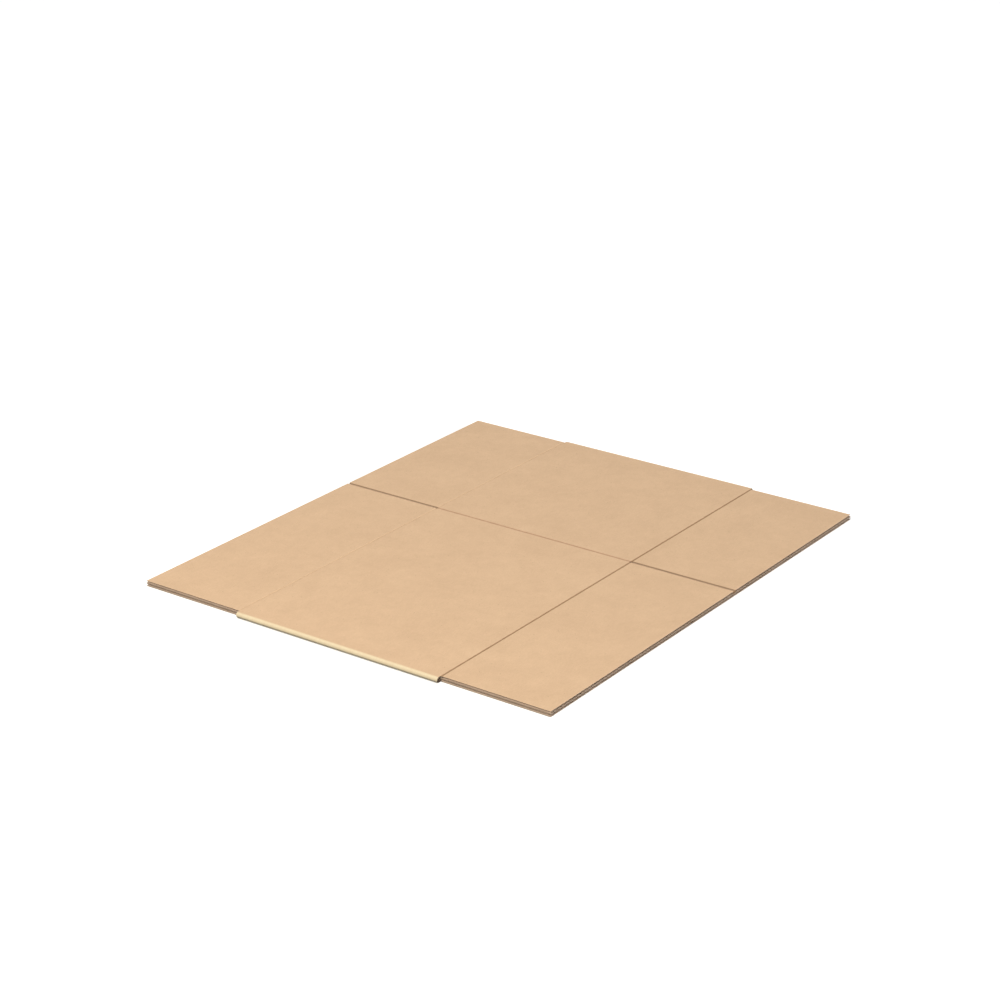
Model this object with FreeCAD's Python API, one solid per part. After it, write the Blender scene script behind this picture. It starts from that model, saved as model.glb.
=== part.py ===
import FreeCAD, Part
import math
import os

# Regular slotted corrugated box, glued into a tube and folded flat as it leaves the maker.
# One sheet of board makes the whole box, so the model is one solid.
# X runs from fold to fold, Y along the flutes from flap end to flap end, Z up.
# The origin is in the middle of the underside. All sizes are in millimetres.

# The space inside the box once it is squared up
inside_length = 406.4
inside_width = 304.8
inside_depth = 304.8

# The board: a fluted medium glued between two liners
board_caliper = 3.6
liner_thickness = 0.45
medium_thickness = 0.35
flute_pitch = 7.8

# The folded sheet
layer_gap = 0.24
slot_width = 3.6
slot_overrun = 1.4
corner_trim = 7.0

# The creases across the flutes, and the score between the two upper panels
crease_width = 2.6
crease_depth = 0.3
score_width = 3.0
score_depth = 0.6

# The glued seam between the two lower panels, and the crushed tab inside it
seam_width = 2.4
tab_thickness = 1.6

# How far a cut runs clear of the board
clear = 5.0

# Where one flute cell's outline is sampled, as shares of its half width from its middle
cell_samples = (1.0, 0.6, 0.2)

# Panels between their score lines, with the board's own thickness allowed for
long_panel = inside_length + board_caliper
short_panel = inside_width + board_caliper
panel_depth = inside_depth + 2 * board_caliper
flap_length = short_panel / 2

# The flat as a whole
flat_thickness = 2 * board_caliper + layer_gap
fold_radius = flat_thickness / 2
fold_centre_x = (long_panel + short_panel) / 2
flat_length = 2 * (fold_centre_x + fold_radius)
flat_width = panel_depth + 2 * flap_length
crease_y = panel_depth / 2
slot_root_y = crease_y - slot_overrun
flap_side_x = flat_length / 2 - corner_trim

# The two layers: where each lies, and the line where its two panels meet
lower_floor = 0.0
upper_floor = board_caliper + layer_gap
upper_meeting_x = long_panel - fold_centre_x
lower_meeting_x = short_panel - fold_centre_x

# One flute cell: the space between the wavy medium and a liner
core_height = board_caliper - 2 * liner_thickness
cell_height = core_height - medium_thickness
cell_width = flute_pitch - medium_thickness


def vector(x, y, z):
    return FreeCAD.Vector(x, y, z)


def block(x_range, y_range, z_range):
    """A block that fills three ranges, each given as low and high in either order."""
    lows = [min(limits) for limits in (x_range, y_range, z_range)]
    sides = [abs(limits[1] - limits[0]) for limits in (x_range, y_range, z_range)]
    return Part.makeBox(*sides, vector(*lows))


def flat_face(points):
    """A face inside straight edges from point to point."""
    return Part.Face(Part.makePolygon(points + points[:1]))


# Section across the flutes

def flute_cell(x, board_floor, crest_up):
    """The open end of one flute: a wave's hollow, closed by a liner on its wide side."""
    if crest_up:
        wide_z = board_floor + liner_thickness
        rise = cell_height
    else:
        wide_z = board_floor + board_caliper - liner_thickness
        rise = -cell_height
    right = [
        (share * cell_width / 2, wide_z + rise * (1 + math.cos(math.pi * share)) / 2)
        for share in cell_samples
    ]
    left = [(-offset, z) for offset, z in reversed(right)]
    return flat_face([vector(x + offset, 0, z) for offset, z in right + left])


def layer_cells(board_floor, meeting_x):
    """The flutes of one layer, but for those crushed by the folds and by the meeting line."""
    half_pitch = flute_pitch / 2
    reach = fold_centre_x - cell_width / 2
    crushed = (cell_width + max(score_width, seam_width)) / 2
    count = math.floor(reach / half_pitch)
    places = [(step * half_pitch, step % 2 == 0) for step in range(-count, count + 1)]
    return [
        flute_cell(x, board_floor, crest_up)
        for x, crest_up in places
        if abs(x - meeting_x) > crushed
    ]


def rounded_band(end_radius):
    """A long band with round ends, centred on the lines that the sheet folds about."""
    edges = []
    for side in (1, -1):
        x = side * fold_centre_x
        arc_start = vector(x, 0, fold_radius - side * end_radius)
        arc_tip = vector(x + side * end_radius, 0, fold_radius)
        arc_end = vector(x, 0, fold_radius + side * end_radius)
        edges.append(Part.Arc(arc_start, arc_tip, arc_end).toShape())
        edges.append(Part.makeLine(arc_end, vector(-x, 0, arc_end.z)))
    return Part.Face(Part.Wire(edges))


def folded_section():
    """The whole flat cut across its flutes: two fluted layers joined by two folds."""
    hollows = [rounded_band(layer_gap / 2)]
    hollows += layer_cells(lower_floor, lower_meeting_x)
    hollows += layer_cells(upper_floor, upper_meeting_x)
    return rounded_band(fold_radius).cut(hollows)


# Cuts

def fold_cutouts():
    """The four corners, where the slots take the folds away beside the flaps."""
    return [
        block(
            (side_x * flap_side_x, side_x * (flat_length / 2 + clear)),
            (side_y * slot_root_y, side_y * (flat_width / 2 + clear)),
            (-clear, flat_thickness + clear),
        )
        for side_x in (-1, 1)
        for side_y in (-1, 1)
    ]


def flap_slots():
    """The slots between the two flaps of a layer, at both ends of both layers."""
    return [
        block(
            (meeting_x - slot_width / 2, meeting_x + slot_width / 2),
            (side * slot_root_y, side * (flat_width / 2 + clear)),
            z_range,
        )
        for meeting_x, z_range in (
            (lower_meeting_x, (-clear, fold_radius)),
            (upper_meeting_x, (fold_radius, flat_thickness + clear)),
        )
        for side in (-1, 1)
    ]


# Creases and seam

def crease(start, run, across, outward, width, depth):
    """A shallow crease pressed into a face, along run from start, with sloping sides."""
    half = across * (width / 2)
    profile = flat_face([start + outward * clear + half, start + outward * clear - half,
                         start - half, start - outward * depth, start + half])
    return profile.extrude(run)


def flap_creases():
    """The four creases that the flaps turn on, across the outer faces of both layers."""
    run = vector(flat_length + 2 * clear, 0, 0)
    return [
        crease(vector(-run.x / 2, side * crease_y, z), run, vector(0, 1, 0), outward,
               crease_width, crease_depth)
        for z, outward in ((0, vector(0, 0, -1)), (flat_thickness, vector(0, 0, 1)))
        for side in (-1, 1)
    ]


def panel_score():
    """The score between the two upper panels, along the flutes from slot to slot."""
    start = vector(upper_meeting_x, -crease_y, flat_thickness)
    run = vector(0, panel_depth, 0)
    return crease(start, run, vector(1, 0, 0), vector(0, 0, 1), score_width, score_depth)


def glued_seam():
    """The open seam between the two lower panels, as deep as the tab glued behind it."""
    x_range = (lower_meeting_x - seam_width / 2, lower_meeting_x + seam_width / 2)
    return block(x_range, (-crease_y, crease_y), (-clear, board_caliper - tab_thickness))


def flattened_box():
    """The whole flat as one solid, lying on its seamed side."""
    section = folded_section()
    section.translate(vector(0, -flat_width / 2, 0))
    sheet = section.extrude(vector(0, flat_width, 0))
    cuts = fold_cutouts() + flap_slots() + flap_creases() + [panel_score(), glued_seam()]
    return sheet.cut(cuts)


os.makedirs("parts", exist_ok=True)
flattened_box().exportStep("parts/flattened_box.step")
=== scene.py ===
"""Dresses the flattened cardboard box: liners, fluted medium and glued seam in kraft paper.

The flat is one sheet of corrugated board, folded into a tube and lying on its seamed side.
X runs from fold to fold, Y along the flutes and Z up, in metres.
"""

import logging
import math
from collections.abc import Callable, Iterable, Iterator
from contextlib import contextmanager
from dataclasses import dataclass, replace
from enum import Enum

import bmesh
import bpy
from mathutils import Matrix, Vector


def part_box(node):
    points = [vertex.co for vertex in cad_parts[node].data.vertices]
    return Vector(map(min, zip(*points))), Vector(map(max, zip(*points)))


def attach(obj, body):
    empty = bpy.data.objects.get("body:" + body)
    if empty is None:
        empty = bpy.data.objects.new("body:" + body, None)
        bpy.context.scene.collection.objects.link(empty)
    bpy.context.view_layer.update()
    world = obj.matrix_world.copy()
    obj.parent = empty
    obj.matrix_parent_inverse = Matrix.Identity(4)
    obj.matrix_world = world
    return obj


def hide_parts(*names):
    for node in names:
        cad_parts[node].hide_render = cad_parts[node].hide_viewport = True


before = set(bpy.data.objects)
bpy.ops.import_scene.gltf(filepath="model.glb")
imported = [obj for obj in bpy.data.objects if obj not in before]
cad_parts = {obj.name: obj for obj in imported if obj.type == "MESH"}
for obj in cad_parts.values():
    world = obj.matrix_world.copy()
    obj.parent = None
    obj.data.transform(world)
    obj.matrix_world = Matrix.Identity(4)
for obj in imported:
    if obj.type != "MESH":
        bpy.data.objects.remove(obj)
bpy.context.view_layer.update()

Axes = tuple[float, float, float]
Colour = tuple[float, float, float]
Test = Callable[[Vector], bool]

CAD_NODE = "flattened_box"
BODY = "root"
MILLIMETRE = 0.001
TOLERANCE = 1e-6
WELD_DISTANCE = 1e-5
SMOOTH_ANGLE = math.radians(40)
EVEN = (1.0, 1.0, 1.0)
WHITE = (1.0, 1.0, 1.0)

log = logging.getLogger(CAD_NODE)


# Shapes of the board and of the flat


class Meeting(Enum):
    """How the two panels of a layer meet in its middle."""

    SCORE = "score"
    SEAM = "seam"


@dataclass(frozen=True)
class Board:
    """Corrugated board: a waved medium glued between two liners."""

    liner: float = 0.45 * MILLIMETRE
    medium: float = 0.35 * MILLIMETRE
    pitch: float = 7.8 * MILLIMETRE
    layer_gap: float = 0.24 * MILLIMETRE
    samples_per_flute: int = 12


@dataclass(frozen=True)
class Cuts:
    """What the maker's knives and wheels leave in the sheet."""

    slot: float = 3.6 * MILLIMETRE
    slot_overrun: float = 1.4 * MILLIMETRE
    corner_trim: float = 7.0 * MILLIMETRE
    seam: float = 2.4 * MILLIMETRE
    crease: float = 2.6 * MILLIMETRE
    crease_depth: float = 0.75 * MILLIMETRE
    far_crease_depth: float = 0.45 * MILLIMETRE
    score: float = 3.0 * MILLIMETRE
    score_depth: float = 0.6 * MILLIMETRE
    edge_roll: float = 1.1 * MILLIMETRE
    edge_drop: float = 0.12 * MILLIMETRE


@dataclass(frozen=True)
class Flat:
    """Where folds, slots, creases and edges lie, worked out from the flat's own box.

    A layer's place across the flutes is counted towards the side of its meeting line, and its
    height from the plane between the two layers, so both layers share one set of values.
    """

    low: Vector
    high: Vector
    board: Board
    cuts: Cuts
    box_width: float = 304.8 * MILLIMETRE

    @property
    def middle_z(self) -> float:
        """Height of the plane between the two layers."""
        return (self.low.z + self.high.z) / 2

    @property
    def fold_radius(self) -> float:
        """Outer radius of the folds."""
        return (self.high.z - self.low.z) / 2

    @property
    def fold_x(self) -> float:
        """Distance of the lines that the sheet folds about from the middle."""
        return self.high.x - self.fold_radius

    @property
    def inner_face(self) -> float:
        """Height of a layer's inner face above the middle plane."""
        return self.board.layer_gap / 2

    @property
    def caliper(self) -> float:
        """Thickness of the board."""
        return self.fold_radius - self.inner_face

    @property
    def core_middle(self) -> float:
        """Height of the middle of the flutes above the middle plane."""
        return self.inner_face + self.caliper / 2

    @property
    def short_panel(self) -> float:
        """Width of a short panel between its score lines."""
        return self.box_width + self.caliper

    @property
    def meeting_x(self) -> float:
        """Place of the line where the two panels of a layer meet."""
        return self.fold_x - self.short_panel

    @property
    def crease_y(self) -> float:
        """Place of the creases that the flaps turn on."""
        return self.high.y - self.short_panel / 2

    @property
    def slot_root_y(self) -> float:
        """Place where the slots end."""
        return self.crease_y - self.cuts.slot_overrun

    @property
    def flap_side_x(self) -> float:
        """Place of the flaps' outer side edges."""
        return self.high.x - self.cuts.corner_trim

    def is_cut_away(self, place: Vector) -> bool:
        """Says whether the slots or the trimmed corners take away the board at a place.

        Args:
            place: A point of either layer.

        Returns:
            True in a slot or a corner.
        """
        across = self.across(place)
        in_slot = abs(across - self.meeting_x) < self.cuts.slot / 2
        in_corner = abs(across) > self.flap_side_x
        return abs(place.y) > self.slot_root_y and (in_slot or in_corner)

    def is_in_seam(self, place: Vector) -> bool:
        """Says whether a place lies in the open seam of the lower layer.

        Args:
            place: A point of either layer.

        Returns:
            True between the two panel edges of the lower layer.
        """
        across = self.across(place)
        return (
            place.z < self.middle_z
            and abs(across - self.meeting_x) < self.cuts.seam / 2
            and abs(place.y) < self.slot_root_y
        )

    def to_edge(self, place: Vector) -> float:
        """Gives a point's distance from the nearest cut edge of its layer.

        Args:
            place: A point of either layer, or of a fold.

        Returns:
            The distance along the board, never below zero.
        """
        beside = abs(self.across(place) - self.meeting_x)
        to_root = max(0.0, self.slot_root_y - abs(place.y))
        distances = [
            self.high.y - abs(place.y),
            math.hypot(max(0.0, beside - self.cuts.slot / 2), to_root),
            math.hypot(max(0.0, self.flap_side_x - abs(place.x)), to_root),
        ]
        if self.meeting(place) is Meeting.SEAM:
            past_root = max(0.0, abs(place.y) - self.slot_root_y)
            distances.append(math.hypot(max(0.0, beside - self.cuts.seam / 2), past_root))
        return max(0.0, min(distances))

    def foot(self, place: Vector) -> Vector:
        """Gives the point of the middle plane, or of a fold's line, that a place stands over."""
        return Vector((max(-self.fold_x, min(self.fold_x, place.x)), place.y, self.middle_z))

    def across(self, place: Vector) -> float:
        """Gives a point's place across the flutes, towards its layer's meeting line."""
        return place.x if place.z > self.middle_z else -place.x

    def meeting(self, place: Vector) -> Meeting:
        """Gives how the panels of the point's layer meet."""
        return Meeting.SCORE if place.z > self.middle_z else Meeting.SEAM


def smooth_step(value: float, start: float, end: float) -> float:
    """Rises smoothly from 0 at start to 1 at end.

    Args:
        value: The place to read.
        start: Where the rise starts.
        end: Where it ends, which may be less than start.

    Returns:
        A share from 0 to 1.
    """
    share = min(1.0, max(0.0, (value - start) / (end - start)))
    return share * share * (3 - 2 * share)


def hollow(offset: float, width: float) -> float:
    """Gives the depth, as a share, of a rounded hollow.

    Args:
        offset: Distance from the hollow's middle line.
        width: The hollow's whole width.

    Returns:
        1 in the middle, falling smoothly to 0 at the hollow's edge.
    """
    half = width / 2
    return (1 + math.cos(math.pi * offset / half)) / 2 if abs(offset) < half else 0.0


# Modelling by hand


def pick(*pieces: bpy.types.Object) -> None:
    """Selects the given pieces alone, and makes the first of them the active one."""
    bpy.ops.object.select_all(action="DESELECT")
    for piece in pieces:
        piece.select_set(True)
    bpy.context.view_layer.objects.active = pieces[0]


@contextmanager
def editing(piece: bpy.types.Object) -> Iterator[None]:
    """Opens a piece in edit mode with nothing selected, and closes it afterwards.

    Args:
        piece: The piece to edit.

    Yields:
        Nothing: the operators act on the piece inside the block.
    """
    pick(piece)
    bpy.ops.object.mode_set(mode="EDIT")
    bpy.ops.mesh.select_all(action="DESELECT")
    yield
    bpy.ops.object.mode_set(mode="OBJECT")


def select_faces(piece: bpy.types.Object, chosen: Test) -> None:
    """Selects the faces of the piece in edit mode whose middle passes a test.

    Args:
        piece: The piece in edit mode.
        chosen: Says of a face's middle whether the face is selected.
    """
    bpy.ops.mesh.select_mode(type="FACE")
    mesh = bmesh.from_edit_mesh(piece.data)
    for face in mesh.faces:
        face.select_set(chosen(face.calc_center_median()))
    mesh.select_flush_mode()
    bmesh.update_edit_mesh(piece.data)


def select_edges(piece: bpy.types.Object, chosen: Test) -> None:
    """Selects the edges of the piece in edit mode whose two ends pass a test.

    Args:
        piece: The piece in edit mode.
        chosen: Says of a point whether it is in the selection.
    """
    bpy.ops.mesh.select_mode(type="EDGE")
    mesh = bmesh.from_edit_mesh(piece.data)
    for edge in mesh.edges:
        edge.select_set(all(chosen(vertex.co) for vertex in edge.verts))
    mesh.select_flush_mode()
    bmesh.update_edit_mesh(piece.data)


def cut_through(piece: bpy.types.Object, direction: Vector, places: Iterable[float]) -> None:
    """Adds an edge loop right through a piece at each place along a direction.

    Args:
        piece: The piece to cut.
        direction: The normal of the cuts, an axis of unit length.
        places: How far along the direction each cut lies.
    """
    with editing(piece):
        for place in places:
            bpy.ops.mesh.select_all(action="SELECT")
            bpy.ops.mesh.bisect(
                plane_co=direction * place, plane_no=direction, threshold=TOLERANCE
            )


def remove_faces(piece: bpy.types.Object, chosen: Test) -> None:
    """Deletes the faces whose middle passes a test.

    Args:
        piece: The piece to cut away from.
        chosen: Says of a face's middle whether the face goes.
    """
    with editing(piece):
        select_faces(piece, chosen)
        bpy.ops.mesh.delete(type="FACE")


def place_origin(piece: bpy.types.Object) -> None:
    """Moves a piece's place, turn and scale into its mesh, which leaves it at the origin."""
    pick(piece)
    bpy.ops.object.transform_apply(location=True, rotation=True, scale=True)


class WallSide(Enum):
    """Where a surface's wall goes, as the wall's offset."""

    BEHIND = -1.0
    BOTH = 0.0


def add_wall(
    piece: bpy.types.Object, thickness: float, side: WallSide, even: bool = True
) -> None:
    """Gives a surface its thickness, with the second material on its cut edges.

    Args:
        piece: The open surface.
        thickness: The wall's thickness.
        side: Whether the wall goes behind the surface, or half to each side of it.
        even: Whether the wall keeps its full thickness round sharp bends.
    """
    wall = piece.modifiers.new("wall", "SOLIDIFY")
    wall.thickness = thickness
    wall.offset = side.value
    wall.use_even_offset = even
    wall.material_offset_rim = 1
    bpy.context.view_layer.objects.active = piece
    bpy.ops.object.modifier_apply(modifier=wall.name)


# Shader maths

# The middle of what a noise gives, and of a blend
MIDDLE = 0.5

# Where a Mix node that blends colours has its sockets, which share their names with others
MIX_SHARE = 0
MIX_START = 6
MIX_END = 7
MIX_RESULT = 2


@dataclass(frozen=True)
class Pattern:
    """Soft noise in a paper.

    Size is that of its largest features, in metres. Detail counts the finer layers and rough
    says how strong they are. Stretch says how often it repeats along each axis, turn is its
    turn about the upright axis in radians, and weight says how strongly it shows.
    """

    size: float
    detail: float = 2.0
    rough: float = 0.5
    stretch: Axes = EVEN
    turn: float = 0.0
    weight: float = 1.0


class Signal:
    """One output of a finish's nodes, on which plain arithmetic adds Math nodes."""

    def __init__(self, nodes: "NodeBench", socket: bpy.types.NodeSocket) -> None:
        """Keeps the bench that adds nodes, and the output socket."""
        self.nodes = nodes
        self.socket = socket

    def _maths(self, operation: str, first: "Signal | float", second: "Signal | float") -> "Signal":
        """Adds one Math node on two values and returns its output."""
        return self.nodes.add("ShaderNodeMath", {"operation": operation}, {0: first, 1: second})

    def __add__(self, other: "Signal | float") -> "Signal":
        """Adds a value."""
        return self._maths("ADD", self, other)

    def __radd__(self, other: float) -> "Signal":
        """Adds this to a number."""
        return self._maths("ADD", other, self)

    def __sub__(self, other: "Signal | float") -> "Signal":
        """Takes a value away."""
        return self._maths("SUBTRACT", self, other)

    def __rsub__(self, other: float) -> "Signal":
        """Takes this away from a number."""
        return self._maths("SUBTRACT", other, self)

    def __mul__(self, other: "Signal | float") -> "Signal":
        """Multiplies by a value."""
        return self._maths("MULTIPLY", self, other)

    def __rmul__(self, other: float) -> "Signal":
        """Multiplies a number by this."""
        return self._maths("MULTIPLY", other, self)

    def __or__(self, other: "Signal") -> "Signal":
        """Gives 1 where either of two masks is 1."""
        return self._maths("MAXIMUM", self, other)

    def __abs__(self) -> "Signal":
        """Drops the sign."""
        return self._maths("ABSOLUTE", self, 0.0)

    def above(self, other: float) -> "Signal":
        """Gives 1 where this is more than a number, and 0 elsewhere."""
        return self._maths("GREATER_THAN", self, other)

    def cosine(self) -> "Signal":
        """Gives the cosine of an angle in radians."""
        return self._maths("COSINE", self, 0.0)

    def ramp(self, start: float, end: float) -> "Signal":
        """Rises smoothly from 0 at start to 1 at end, which may be less than start.

        Args:
            start: The value that gives 0.
            end: The value that gives 1.

        Returns:
            A share from 0 to 1.
        """
        low, high, first, last = (start, end, 0.0, 1.0) if start < end else (end, start, 1.0, 0.0)
        return self.nodes.add(
            "ShaderNodeMapRange",
            {"interpolation_type": "SMOOTHSTEP"},
            {"Value": self, "From Min": low, "From Max": high, "To Min": first, "To Max": last},
        )


class NodeBench:
    """Adds the nodes of one material, or of the world."""

    def __init__(self, owner: bpy.types.Material | bpy.types.World) -> None:
        """Clears the nodes of a material or of the world."""
        self.owner = owner
        owner.use_nodes = True
        owner.node_tree.nodes.clear()

    def add(
        self,
        kind: str,
        settings: dict[str, object] | None = None,
        inputs: dict[str | int, object] | None = None,
        output: str | int = 0,
    ) -> Signal:
        """Adds one node.

        Args:
            kind: The node's type.
            settings: The node's own settings, which are set first.
            inputs: Values or links of its sockets, by name or number.
            output: The output that is returned.

        Returns:
            The chosen output.
        """
        node = self.owner.node_tree.nodes.new(kind)
        for name, value in (settings or {}).items():
            setattr(node, name, value)
        for key, value in (inputs or {}).items():
            if isinstance(value, Signal):
                self.owner.node_tree.links.new(value.socket, node.inputs[key])
            else:
                node.inputs[key].default_value = value
        return Signal(self, node.outputs[output] if node.outputs else None)

    def place(self, stretch: Axes = EVEN, turn: float = 0.0) -> Signal:
        """Gives the place on the piece, stretched for patterns that run one way.

        Args:
            stretch: How often the pattern repeats along each axis.
            turn: Turn about the upright axis, in radians.

        Returns:
            The place, as a vector.
        """
        here = self.add("ShaderNodeTexCoord", output="Object")
        return self.add(
            "ShaderNodeMapping",
            inputs={"Vector": here, "Scale": stretch, "Rotation": (0.0, 0.0, turn)},
        )

    def noise(self, pattern: Pattern) -> Signal:
        """Gives soft noise about zero.

        Args:
            pattern: The noise's size, finer layers, place and weight.

        Returns:
            A value within about half of the pattern's weight on either side of zero.
        """
        raw = self.add(
            "ShaderNodeTexNoise",
            inputs={
                "Vector": self.place(pattern.stretch, pattern.turn),
                "Scale": 1 / pattern.size,
                "Detail": pattern.detail,
                "Roughness": pattern.rough,
            },
        )
        return (raw - MIDDLE) * pattern.weight

    def blend(self, share: Signal, first: "Signal | Colour", second: "Signal | Colour") -> Signal:
        """Blends two colours.

        Args:
            share: 0 for the first colour, 1 for the second.
            first: A colour or a link.
            second: A colour or a link.

        Returns:
            The blended colour.
        """
        start, end = (c if isinstance(c, Signal) else (*c, 1.0) for c in (first, second))
        return self.add(
            "ShaderNodeMix",
            {"data_type": "RGBA", "clamp_factor": True},
            {MIX_SHARE: share, MIX_START: start, MIX_END: end},
            output=MIX_RESULT,
        )

    def axis(self, name: str) -> Signal:
        """Gives the place on the piece along X, Y or Z, in metres."""
        here = self.add("ShaderNodeTexCoord", output="Object")
        return self.add("ShaderNodeSeparateXYZ", inputs={0: here}, output=name)

    def finish(self, shader: Signal) -> bpy.types.Material:
        """Links a shader to the output and returns the material."""
        self.add("ShaderNodeOutputMaterial", inputs={"Surface": shader})
        return self.owner


# Finishes

FIBRES = Pattern(0.55 * MILLIMETRE, rough=0.6, stretch=(0.16, 1.0, 1.0), turn=0.05, weight=0.8)
GRAINS = Pattern(1.1 * MILLIMETRE, rough=0.6, weight=0.5)


@dataclass(frozen=True)
class Specks:
    """Dark specks in the paper, one in a few cells of a grid.

    Bare is the share of the cells that hold no speck, and core the share of a speck's radius
    that is dark throughout.
    """

    spacing: float
    radius: float
    bare: float
    weight: float
    core: float = 0.4


@dataclass(frozen=True)
class PaperFinish:
    """Kraft paper: two close tones in soft clouds, with fibres, grain and a few specks.

    Beside the slots it is darkened with painted shade, in place of the shade inside them: fully
    within the core, a share of the reach, and then less and less. Relief is the depth of its bump.
    """

    flat: Flat
    name: str
    light: Colour
    dark: Colour
    clouds: Pattern = Pattern(60.0 * MILLIMETRE, weight=0.4125)
    patches: Pattern = Pattern(13.0 * MILLIMETRE, detail=3.0, weight=0.375)
    fibres: Pattern = FIBRES
    grains: Pattern = GRAINS
    small_specks: Specks = Specks(5.0 * MILLIMETRE, 0.75 * MILLIMETRE, bare=0.82, weight=0.5)
    large_specks: Specks = Specks(23.0 * MILLIMETRE, 1.1 * MILLIMETRE, bare=0.6, weight=0.35)
    speck_tone: float = 0.45
    # Painted shade beside the slots, in place of the shade inside them: its colour, reach, core and
    # share.
    slot_shade_colour: Colour = (0.33, 0.18, 0.085)
    slot_shade_reach: float = 4.0 * MILLIMETRE
    slot_shade_core: float = 0.3
    slot_shade_share: float = 0.55
    raised_fibres: Pattern = Pattern(
        0.8 * MILLIMETRE, detail=3.0, rough=0.6, stretch=(0.2, 1.0, 1.0), turn=FIBRES.turn
    )
    pebbles: Pattern = Pattern(2.4 * MILLIMETRE)
    relief: float = 0.02 * MILLIMETRE
    wear: Pattern = Pattern(9.0 * MILLIMETRE, detail=3.0, weight=0.12)
    roughness: float = 0.82
    specular: float = 0.2
    sheen: float = 0.05
    sheen_roughness: float = 0.5

    def build(self) -> bpy.types.Material:
        """Builds the material.

        Returns:
            The finished material.
        """
        nodes = NodeBench(bpy.data.materials.new(self.name))
        colour = self.dress(nodes, self.tone(nodes))
        relief = {"Strength": 1.0, "Distance": self.relief, "Height": self.height(nodes)}
        shader = nodes.add(
            "ShaderNodeBsdfPrincipled",
            inputs={
                "Base Color": colour,
                "Roughness": nodes.noise(self.wear) + self.roughness,
                "Normal": nodes.add("ShaderNodeBump", inputs=relief),
                "Specular IOR Level": self.specular,
                "Sheen Weight": self.sheen,
                "Sheen Roughness": self.sheen_roughness,
            },
        )
        return nodes.finish(shader)

    def tone(self, nodes: NodeBench) -> Signal:
        """Builds the plain paper's colour.

        Args:
            nodes: The bench of the material.

        Returns:
            The colour.
        """
        layers = (self.clouds, self.patches, self.fibres, self.grains)
        share = sum((nodes.noise(layer) for layer in layers), start=MIDDLE)
        return nodes.blend(share, self.light, self.dark)

    def height(self, nodes: NodeBench) -> Signal:
        """Builds the paper's fine relief, as a share of its depth."""
        return nodes.noise(self.raised_fibres) + nodes.noise(self.pebbles)

    def dress(self, nodes: NodeBench, colour: Signal) -> Signal:
        """Adds specks to the plain paper, and paints shade beside the slots.

        Args:
            nodes: The bench of the material.
            colour: The paper's colour.

        Returns:
            The finished colour.
        """
        dark = tuple(part * self.speck_tone for part in self.dark)
        specks = self.scatter(nodes, self.small_specks) + self.scatter(nodes, self.large_specks)
        speckled = nodes.blend(specks, colour, dark)
        # Painted shade beside the slots.
        return nodes.blend(self.slot_shade_mask(nodes), speckled, self.slot_shade_colour)

    def scatter(self, nodes: NodeBench, specks: Specks) -> Signal:
        """Scatters specks over the paper.

        Args:
            nodes: The bench of the material.
            specks: Their spacing, size and weight.

        Returns:
            The specks' weight on a speck and 0 elsewhere.
        """
        inputs = {"Vector": nodes.place(), "Scale": 1 / specks.spacing}
        distance = nodes.add("ShaderNodeTexVoronoi", inputs=inputs, output="Distance")
        colour = nodes.add("ShaderNodeTexVoronoi", inputs=inputs, output="Color")
        chance = nodes.add("ShaderNodeSeparateColor", inputs={0: colour})
        reach = specks.radius / specks.spacing
        spot = distance.ramp(reach, specks.core * reach)
        return spot * chance.above(specks.bare) * specks.weight

    def slot_shade_mask(self, nodes: NodeBench) -> Signal:
        """Finds the board beside the slots that takes painted shade, in both layers.

        Args:
            nodes: The bench of the material.

        Returns:
            The full share at a slot's side, falling to 0 at the reach.
        """
        flat = self.flat
        side = nodes.axis("Z").above(flat.middle_z) * 2.0 - 1.0
        beside = abs(nodes.axis("X") * side - flat.meeting_x)
        half = flat.cuts.slot / 2
        near = beside.ramp(half + self.slot_shade_reach, half + self.slot_shade_core * self.slot_shade_reach)
        return near * abs(nodes.axis("Y")).above(flat.slot_root_y) * self.slot_shade_share


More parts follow.
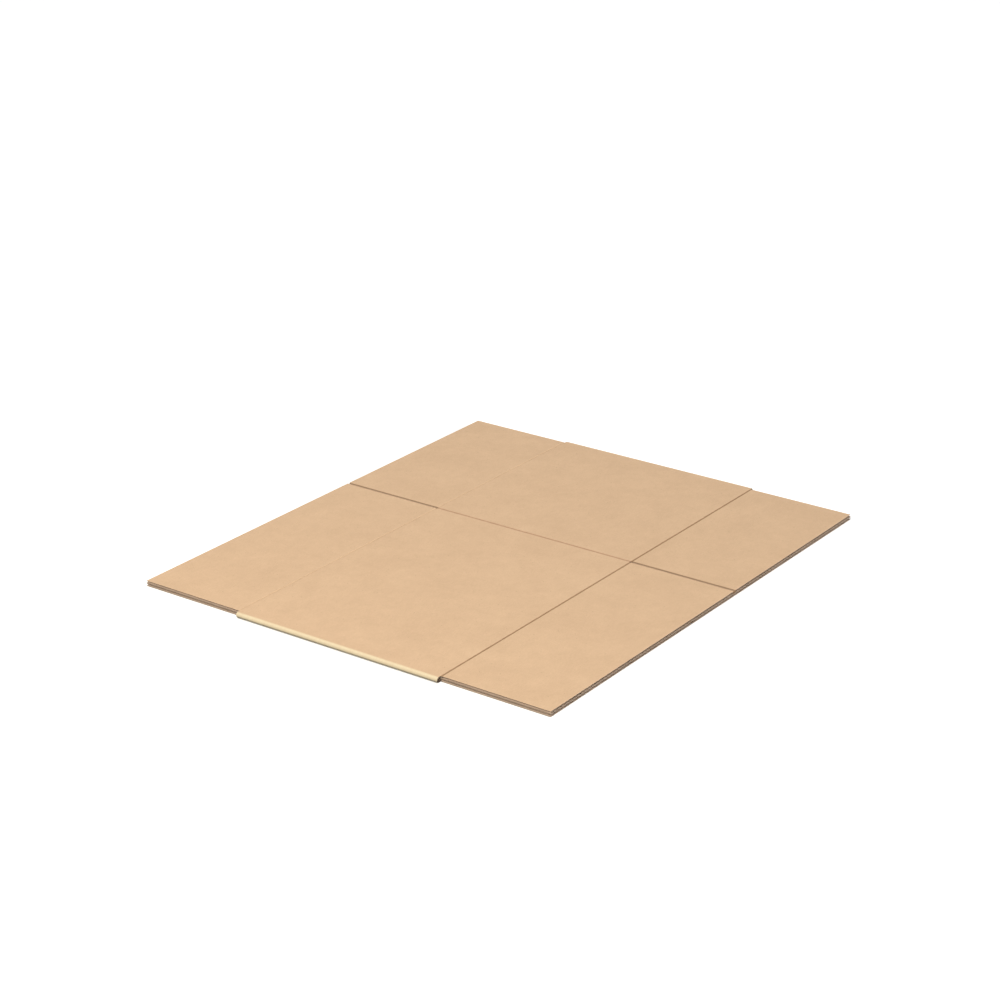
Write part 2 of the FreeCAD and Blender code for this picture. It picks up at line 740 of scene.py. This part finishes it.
@dataclass(frozen=True)
class LinerFinish(PaperFinish):
    """The outer liner: kraft paper, pale at its folds and brown in its creases, partly painted
    highlight and shade.

    The near creases, at Y min, are browner than the far ones, as painted shade. A darkened line,
    of pressed paper and painted shade, is brown within its core and plain past its rim, both
    shares of its width. A fold is plain up to its start and fully pale from its end, both in fold
    radii from the line that it turns about.
    """

    # The painted shade beside the slots is narrower and lighter on the outer face.
    slot_shade_reach: float = 0.9 * MILLIMETRE
    slot_shade_share: float = 0.45
    washboard: float = 0.8
    # Crease colour and shares: the pressed paper's brown and painted shade, with more shade at the
    # near creases.
    burnish_and_shade: Colour = (0.23, 0.125, 0.058)
    near_burnish_and_shade: float = 0.76
    far_burnish_and_shade: float = 0.1
    change_reach: float = 10.0 * MILLIMETRE
    # Score colour: the pressed paper's brown and painted shade.
    score_burnish_and_shade: Colour = (0.265, 0.108, 0.068)
    score_share: float = 0.5
    line_rim: float = 0.7
    line_core: float = 0.25
    ragged_size: float = 4.0 * MILLIMETRE
    ragged_share: float = 0.3
    # Fold colour: paper paled by stretching, and a painted highlight.
    stretch_and_highlight: Colour = (0.82, 0.71, 0.485)
    stretch_and_highlight_share: float = 0.82
    streaks: Pattern = Pattern(
        2.5 * MILLIMETRE, detail=3.0, rough=0.6, stretch=(0.1, 1.0, 0.1), weight=0.5
    )
    fold_start: float = -0.2
    fold_end: float = 0.55

    def height(self, nodes: NodeBench) -> Signal:
        """Builds the relief, in which the flutes show faintly through the paper."""
        flutes = (nodes.axis("X") * (2 * math.pi / self.flat.board.pitch)).cosine()
        return super().height(nodes) + flutes * self.washboard

    def dress(self, nodes: NodeBench, colour: Signal) -> Signal:
        """Adds specks, brown score and creases of pressed paper and painted shade, and pale folds
        of paper paled by stretching and a painted highlight.

        Args:
            nodes: The bench of the material.
            colour: The paper's colour.

        Returns:
            The finished colour.
        """
        plain = super().dress(nodes, colour)
        # Painted shade darkens the score and creases beyond the pressed paper's own brown.
        score_burnish_and_shade = nodes.blend(self.score(nodes) * self.score_share, plain, self.score_burnish_and_shade)
        creased = nodes.blend(self.creases(nodes), score_burnish_and_shade, self.burnish_and_shade)
        # The folds get a painted highlight on top of the paleness from stretching.
        return nodes.blend(self.folds(nodes), creased, self.stretch_and_highlight)

    def score(self, nodes: NodeBench) -> Signal:
        """Gives 1 along the score between the two upper panels, and 0 elsewhere."""
        flat = self.flat
        beside = nodes.axis("X") - flat.meeting_x
        line = self.pressed_and_shaded_line(nodes, beside, flat.cuts.score, (0.2, 1.0, 1.0))
        past_root = abs(nodes.axis("Y")).above(flat.slot_root_y)
        return line * (1 - past_root) * nodes.axis("Z").above(flat.middle_z)

    def creases(self, nodes: NodeBench) -> Signal:
        """Gives how brown the flaps' creases are, from pressing and painted shade, and 0 beside
        them.
        """
        flat = self.flat
        y = nodes.axis("Y")
        line = self.pressed_and_shaded_line(nodes, abs(y) - flat.crease_y, flat.cuts.crease, (1.0, 0.2, 1.0))
        # Painted shade: the near creases, at Y min, are darker than the far ones.
        near_side = y.ramp(self.change_reach, -self.change_reach)
        return line * (near_side * (self.near_burnish_and_shade - self.far_burnish_and_shade) + self.far_burnish_and_shade)

    def folds(self, nodes: NodeBench) -> Signal:
        """Gives how pale the streaky folds are, from stretching and a painted highlight, and 0 on
        the panels.
        """
        flat = self.flat
        start = flat.fold_x + self.fold_start * flat.fold_radius
        end = flat.fold_x + self.fold_end * flat.fold_radius
        streaks = nodes.noise(self.streaks) + self.stretch_and_highlight_share
        return abs(nodes.axis("X")).ramp(start, end) * streaks

    def pressed_and_shaded_line(
        self, nodes: NodeBench, offset: Signal, width: float, stretch: Axes
    ) -> Signal:
        """Finds a brown line of pressed paper and painted shade along a crease or the score.

        Args:
            nodes: The bench of the material.
            offset: Distance from the line's middle, to either side.
            width: The pressed hollow's width.
            stretch: How often the ragged rim's pattern repeats along each axis.

        Returns:
            1 along the line, falling to 0 at its ragged rim.
        """
        rim = Pattern(self.ragged_size, stretch=stretch, weight=self.ragged_share * width)
        ragged = abs(offset) + nodes.noise(rim)
        return ragged.ramp(self.line_rim * width, self.line_core * width)


# Pieces


@dataclass
class FoldedPaper:
    """One paper of the board, wrapped round the flat through both layers and both folds.

    Edge loops stand at shares of a hollow's half width from its middle, and at shares of a
    rolled rim's width from its edge. The last share, past 1, lies on the level panel, so that
    the panel's smooth shading stays level too.
    """

    flat: Flat
    name: str
    radius: float
    finishes: tuple[bpy.types.Material, bpy.types.Material]
    columns: int = 1
    fold_steps: int = 8
    hollow_shares: tuple[float, ...] = (0.25, 0.5, 0.75, 1.0, 1.3)
    rim_shares: tuple[float, ...] = (0.33, 0.66, 1.0, 1.3)

    def build(self) -> bpy.types.Object:
        """Models the paper, cuts it, presses it and gives it its thickness.

        Returns:
            The finished piece.
        """
        piece = self.half_wrap()
        self.cut_blank(piece)
        self.close_wrap(piece)
        self.open_seam(piece)
        self.shape(piece)
        for finish in self.finishes:
            piece.data.materials.append(finish)
        self.thicken(piece)
        bpy.ops.object.shade_smooth_by_angle(angle=SMOOTH_ANGLE)
        return piece

    def half_wrap(self) -> bpy.types.Object:
        """Models the upper layer's paper, with the upper half of both folds.

        Returns:
            The open surface.
        """
        flat = self.flat
        bpy.ops.object.select_all(action="DESELECT")
        bpy.ops.mesh.primitive_grid_add(
            x_subdivisions=self.columns,
            y_subdivisions=1,
            size=1,
            location=(0, 0, flat.middle_z + self.radius),
        )
        piece = bpy.context.object
        piece.name = self.name
        piece.data.name = self.name
        piece.scale = (2 * flat.fold_x, flat.high.y - flat.low.y, 1)
        place_origin(piece)
        with editing(piece):
            for side in (-1, 1):
                edge_x = side * flat.fold_x
                select_edges(piece, lambda point, x=edge_x: abs(point.x - x) < TOLERANCE)
                bpy.ops.mesh.spin(
                    steps=self.fold_steps,
                    angle=math.pi / 2,
                    center=(edge_x, 0, flat.middle_z),
                    axis=(0, -side, 0),
                )
        return piece

    def cut_blank(self, piece: bpy.types.Object) -> None:
        """Cuts the slots and corners, and adds the loops that creases and edges need."""
        cut_through(piece, Vector((1, 0, 0)), self.loops_across())
        cut_through(piece, Vector((0, 1, 0)), self.loops_along())
        remove_faces(piece, self.flat.is_cut_away)

    def edge_offsets(self) -> list[float]:
        """Gives the distances from a cut edge at which its rolled rim has loops."""
        return [self.flat.cuts.edge_roll * share for share in self.rim_shares]

    def loops_across(self) -> list[float]:
        """Gives the places of the loops that run along the flutes.

        Returns:
            Places along X on the upper layer.
        """
        flat = self.flat
        cuts = flat.cuts
        slot_sides = [flat.meeting_x + side * cuts.slot / 2 for side in (-1, 1)]
        seam_sides = [flat.meeting_x + side * cuts.seam / 2 for side in (-1, 1)]
        loops = [*slot_sides, *seam_sides, flat.meeting_x, -flat.flap_side_x, flat.flap_side_x]
        for share in self.hollow_shares:
            loops += [flat.meeting_x + side * cuts.score / 2 * share for side in (-1, 1)]
        for offset in self.edge_offsets():
            loops += [flat.flap_side_x - offset, offset - flat.flap_side_x]
            loops += [flat.meeting_x + side * (cuts.slot / 2 + offset) for side in (-1, 1)]
        return loops

    def loops_along(self) -> list[float]:
        """Gives the places of the loops that run across the flutes.

        Returns:
            Places along Y.
        """
        flat = self.flat
        half = flat.cuts.crease / 2
        rows = [flat.crease_y, flat.slot_root_y]
        for share in self.hollow_shares:
            rows += [flat.crease_y + side * half * share for side in (-1, 1)]
        for offset in self.edge_offsets():
            rows += [flat.high.y - offset, flat.slot_root_y - offset]
        return [side * row for side in (-1, 1) for row in rows]

    def close_wrap(self, piece: bpy.types.Object) -> None:
        """Copies the upper half, turned over about Y, and joins the two into one wrap."""
        pick(piece)
        bpy.ops.object.duplicate()
        lower = bpy.context.object
        centre = (0, 0, self.flat.middle_z)
        bpy.ops.transform.rotate(value=math.pi, orient_axis="Y", center_override=centre)
        place_origin(lower)
        pick(piece, lower)
        bpy.ops.object.join()
        with editing(piece):
            bpy.ops.mesh.select_all(action="SELECT")
            bpy.ops.mesh.remove_doubles(threshold=WELD_DISTANCE)

    def open_seam(self, piece: bpy.types.Object) -> None:
        """Takes the paper out of the open seam between the two lower panels."""
        remove_faces(piece, self.flat.is_in_seam)

    def shape(self, piece: bpy.types.Object) -> None:
        """Moves every point of the paper to its height in the pressed board."""
        for vertex in piece.data.vertices:
            foot = self.flat.foot(vertex.co)
            outwards = vertex.co - foot
            height = self.pressed(vertex.co, self.height(vertex.co))
            vertex.co = foot + outwards.normalized() * height
        piece.data.update()

    def height(self, place: Vector) -> float:
        """Gives the paper's height above the middle plane before the board is pressed."""
        return self.radius

    def pressed(self, place: Vector, height: float) -> float:
        """Gives a point's height above the middle plane once the board is pressed.

        Args:
            place: The point, which tells its layer and its place there.
            height: Its height above the middle plane before.

        Returns:
            Its height after, with the board squeezed towards its inner face.
        """
        flat = self.flat
        cuts = flat.cuts
        crease_depth = cuts.crease_depth if place.y < 0 else cuts.far_crease_depth
        depth = crease_depth * hollow(abs(place.y) - flat.crease_y, cuts.crease)
        if flat.meeting(place) is Meeting.SCORE and abs(place.y) < flat.slot_root_y:
            beside = flat.across(place) - flat.meeting_x
            depth = max(depth, cuts.score_depth * hollow(beside, cuts.score))
        roll = 1 - min(1.0, flat.to_edge(place) / cuts.edge_roll)
        squeeze = 1 - max(depth, cuts.edge_drop * roll * roll) / flat.caliper
        return flat.inner_face + (height - flat.inner_face) * squeeze

    def thicken(self, piece: bpy.types.Object) -> None:
        """Gives the liner its thickness, behind its outer face."""
        add_wall(piece, self.flat.board.liner, WallSide.BEHIND)


@dataclass
class InnerLiner(FoldedPaper):
    """The liner inside the folded tube, which runs on behind the seam."""

    def open_seam(self, piece: bpy.types.Object) -> None:
        """Leaves the paper whole, because the tab of the seam is glued here."""


@dataclass
class FlutedMedium(FoldedPaper):
    """The waved paper between the liners, crushed at the folds and at the seam.

    Its rims have no loops of their own, because the wave's columns are close enough. Its crush
    at the seam starts and ends at distances from the seam's middle.
    """

    hollow_shares: tuple[float, ...] = (0.25, 0.5, 0.75, 1.0)
    rim_shares: tuple[float, ...] = ()
    crush_start: float = 7.0 * MILLIMETRE
    crush_end: float = 4.4 * MILLIMETRE

    def height(self, place: Vector) -> float:
        """Gives the wave's height above the middle plane.

        Args:
            place: A point of either layer, or of a fold.

        Returns:
            The height of the middle of the paper, crushed at the folds and at the seam.
        """
        flat = self.flat
        board = flat.board
        rise = (flat.caliper - 2 * board.liner - board.medium) / 2
        side = 1 if place.z > flat.middle_z else -1
        wave = side * rise * math.cos(2 * math.pi * place.x / board.pitch)
        height = flat.core_middle + wave * smooth_step(abs(place.x), flat.fold_x, flat.flap_side_x)
        if flat.meeting(place) is Meeting.SCORE:
            return height
        beside = abs(flat.across(place) - flat.meeting_x)
        crush = smooth_step(beside, self.crush_start, self.crush_end)
        crushed_height = flat.fold_radius - board.liner - board.medium
        return height + (crushed_height - height) * crush

    def thicken(self, piece: bpy.types.Object) -> None:
        """Gives the medium its thickness, half on each side of its wave."""
        add_wall(piece, self.flat.board.medium, WallSide.BOTH, even=False)


@dataclass
class SeamTab:
    """The crushed tab that closes the tube, glued behind the open seam.

    Its ends taper in width to a share of the tab's own.
    """

    flat: Flat
    name: str
    finishes: tuple[bpy.types.Material, bpy.types.Material]
    width: float = 8.4 * MILLIMETRE
    depth_in_seam: float = 2.0 * MILLIMETRE
    end_gap: float = 2.0 * MILLIMETRE
    taper: float = 5.0 * MILLIMETRE
    end_share: float = 0.55
    edge_bevel: float = 0.15 * MILLIMETRE
    bevel_steps: int = 2

    def build(self) -> bpy.types.Object:
        """Models the tab as a slab with tapered ends and softened edges.

        Returns:
            The finished piece.
        """
        flat = self.flat
        bottom = flat.low.z + self.depth_in_seam
        top = flat.middle_z - flat.inner_face - flat.board.liner / 2
        half_run = flat.slot_root_y - self.end_gap
        centre = (-flat.meeting_x, 0, (bottom + top) / 2)
        bpy.ops.object.select_all(action="DESELECT")
        bpy.ops.mesh.primitive_cube_add(size=1, location=centre)
        piece = bpy.context.object
        piece.name = self.name
        piece.data.name = self.name
        piece.scale = (self.width, 2 * half_run, top - bottom)
        place_origin(piece)
        cut_through(piece, Vector((0, 1, 0)), [side * (half_run - self.taper) for side in (-1, 1)])
        with editing(piece):
            select_faces(piece, lambda point: abs(point.y) > half_run - TOLERANCE)
            bpy.ops.transform.resize(value=(self.end_share, 1, 1), center_override=centre)
            bpy.ops.mesh.select_all(action="SELECT")
            bpy.ops.mesh.bevel(
                offset=self.edge_bevel, segments=self.bevel_steps, affect="EDGES"
            )
        for finish in self.finishes:
            piece.data.materials.append(finish)
        bpy.ops.object.shade_smooth_by_angle(angle=SMOOTH_ANGLE)
        return piece


# Stage


def backwards(azimuth: float, elevation: float) -> Vector:
    """Gives the direction from the flat to a camera or lamp.

    Args:
        azimuth: Degrees round the flat, 0 in front of its Y-min edge and -90 beyond its X-min fold.
        elevation: Degrees above the floor.

    Returns:
        The direction, of unit length.
    """
    turn = math.radians(azimuth)
    rise = math.radians(elevation)
    level = math.cos(rise)
    return Vector((math.sin(turn) * level, -math.cos(turn) * level, math.sin(rise)))


def set_up(
    name: str, device: bpy.types.Light | bpy.types.Camera, place: Vector, back: Vector
) -> bpy.types.Object:
    """Adds a lamp or the camera to the scene.

    Args:
        name: Its name.
        device: The lamp or the camera.
        place: Where it stands.
        back: The direction to it from what it faces.

    Returns:
        The object that holds it.
    """
    holder = bpy.data.objects.new(name, device)
    bpy.context.scene.collection.objects.link(holder)
    holder.location = place
    holder.rotation_euler = (-back).to_track_quat("-Z", "Y").to_euler()
    return holder


def grey(level: float) -> Colour:
    """Gives a grey, from 0 for black to 1 for white."""
    return (level, level, level)


@dataclass(frozen=True)
class FarLamp:
    """One soft studio lamp, so far away that the whole floor is lit alike.

    Azimuth, elevation and spread are in degrees.
    """

    name: str
    azimuth: float
    elevation: float
    strength: float
    spread: float
    tint: Colour = WHITE
    distance: float = 3.0

    def build(self) -> None:
        """Adds the lamp, turned towards the flat."""
        lamp = bpy.data.lights.new(self.name, "SUN")
        lamp.energy = self.strength
        lamp.angle = math.radians(self.spread)
        lamp.color = self.tint
        back = backwards(self.azimuth, self.elevation)
        set_up(self.name, lamp, back * self.distance, back)


@dataclass(frozen=True)
class GlowLamp:
    """A weak warm lamp beyond the X-min fold, whose light falls off across the flat."""

    name: str = "glow_lamp"
    place: Axes = (-1.9, 0.0, 1.8)
    power: float = 31.0
    size: float = 0.8
    tint: Colour = (1.0, 0.93, 0.82)

    def build(self) -> None:
        """Adds the lamp, turned towards the flat."""
        lamp = bpy.data.lights.new(self.name, "AREA")
        lamp.shape = "DISK"
        lamp.energy = self.power
        lamp.size = self.size
        lamp.color = self.tint
        place = Vector(self.place)
        set_up(self.name, lamp, place, place)


@dataclass(frozen=True)
class Studio:
    """The pale floor, the soft lamps, the white surroundings and the camera.

    The floor is pale where it is seen and dark where it only bounces light onto the flat. The
    camera looks at its aim, in metres, from its distance, and its azimuth and elevation are in
    degrees.
    """

    flat: Flat
    lamps: tuple[FarLamp | GlowLamp, ...] = (
        FarLamp(
            "key_lamp",
            azimuth=-78.0,
            elevation=48.0,
            strength=1.25,
            spread=24.0,
            tint=(1.0, 0.97, 0.92),
        ),
        FarLamp("fill_lamp", azimuth=30.0, elevation=9.0, strength=3.0, spread=20.0),
        GlowLamp(),
    )
    floor_seen: float = 0.9
    floor_bounce: float = 0.12
    floor_glow: float = 0.35
    floor_size: float = 40.0
    floor_drop: float = 0.05 * MILLIMETRE
    sky_light: float = 0.3
    aim: Axes = (0.1228, 0.1032, 0.0074)
    azimuth: float = -54.38
    elevation: float = 22.31
    distance: float = 3.389
    lens: float = 89.36
    sight: float = 100.0

    def build(self) -> None:
        """Builds the whole stage."""
        self.add_floor()
        self.add_sky()
        for lamp in self.lamps:
            lamp.build()
        self.add_camera()
        bpy.context.scene.view_settings.view_transform = "Standard"

    def seen(self, nodes: NodeBench) -> Signal:
        """Gives 1 for rays that show the surroundings: direct, in gloss or through film."""
        names = ("Is Camera Ray", "Is Glossy Ray", "Is Transmission Ray")
        direct, glossy, through = (nodes.add("ShaderNodeLightPath", output=name) for name in names)
        return direct | glossy | through

    def uncovered(self, nodes: NodeBench) -> Signal:
        """Gives 1 where the flat leaves the floor free.

        Args:
            nodes: The bench of the floor's material.

        Returns:
            0 below the flat, so that its slots and folds stay dark there, and 1 elsewhere.
        """
        flat = self.flat
        across = abs(nodes.axis("X"))
        along = abs(nodes.axis("Y"))
        in_corner = across.above(flat.flap_side_x) * along.above(flat.slot_root_y)
        return across.above(flat.high.x) | along.above(flat.high.y) | in_corner

    def add_floor(self) -> None:
        """Adds a plain floor that looks white and still takes the flat's shadow."""
        bpy.ops.object.select_all(action="DESELECT")
        bpy.ops.mesh.primitive_plane_add(size=self.floor_size, location=(0, 0, -self.floor_drop))
        floor = bpy.context.object
        floor.name = "floor"
        place_origin(floor)
        nodes = NodeBench(bpy.data.materials.new("plain_floor"))
        seen = self.seen(nodes)
        tone = nodes.blend(seen, grey(self.floor_bounce), grey(self.floor_seen))
        matt = nodes.add("ShaderNodeBsdfDiffuse", inputs={"Color": tone})
        strength = seen * self.uncovered(nodes) * self.floor_glow
        glow = nodes.add("ShaderNodeEmission", inputs={"Strength": strength})
        both = nodes.add("ShaderNodeAddShader", inputs={0: matt, 1: glow})
        floor.data.materials.append(nodes.finish(both))

    def add_sky(self) -> None:
        """Lights the flat softly from all round, and shows white behind it."""
        world = bpy.data.worlds.new("white_surroundings")
        bpy.context.scene.world = world
        nodes = NodeBench(world)
        strength = self.seen(nodes) * (1 - self.sky_light) + self.sky_light
        inputs = {"Color": (*WHITE, 1.0), "Strength": strength}
        sky = nodes.add("ShaderNodeBackground", inputs=inputs)
        nodes.add("ShaderNodeOutputWorld", inputs={"Surface": sky})

    def add_camera(self) -> None:
        """Adds the camera at the photograph's viewing angle."""
        camera = bpy.data.cameras.new("camera")
        camera.lens = self.lens
        camera.clip_end = self.sight
        back = backwards(self.azimuth, self.elevation)
        place = Vector(self.aim) + back * self.distance
        bpy.context.scene.camera = set_up("camera", camera, place, back)


def main() -> None:
    """Builds the papers of the flat in order, and then the stage around them."""
    logging.basicConfig(level=logging.INFO, format="%(message)s")
    low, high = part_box(CAD_NODE)
    flat = Flat(low, high, Board(), Cuts())
    board = flat.board
    finishes = [
        LinerFinish(
            flat, "kraft_liner", light=(0.760, 0.535, 0.342), dark=(0.565, 0.379, 0.233)
        ),
        # The inner liner's colour is its own darker paper, darkened further as painted shade for
        # the slots.
        PaperFinish(flat, "inner_kraft_with_painted_shade", light=(0.60, 0.405, 0.245), dark=(0.43, 0.275, 0.16)),
        PaperFinish(flat, "waved_kraft", light=(0.70, 0.55, 0.43), dark=(0.52, 0.40, 0.30)),
        PaperFinish(
            flat,
            "raw_edge",
            light=(0.54, 0.43, 0.335),
            dark=(0.31, 0.235, 0.175),
            fibres=replace(FIBRES, weight=1.6),
            grains=replace(GRAINS, weight=1.4),
        ),
    ]
    liner, inner, waved, raw_edge = (finish.build() for finish in finishes)
    columns = round(2 * flat.fold_x / board.pitch * board.samples_per_flute)
    papers = [
        FoldedPaper(flat, "outer_liner", flat.fold_radius, (liner, raw_edge)),
        InnerLiner(flat, "inner_liner", flat.inner_face + board.liner, (inner, raw_edge)),
        FlutedMedium(flat, "fluted_medium", flat.core_middle, (waved, raw_edge), columns),
        SeamTab(flat, "seam_tab", (inner, raw_edge)),
    ]
    pieces = [paper.build() for paper in papers]
    for piece in pieces:
        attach(piece, BODY)
        log.info("%s: %d faces", piece.name, len(piece.data.polygons))
    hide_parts(CAD_NODE)
    Studio(flat).build()


if __name__ == "__main__":
    main()
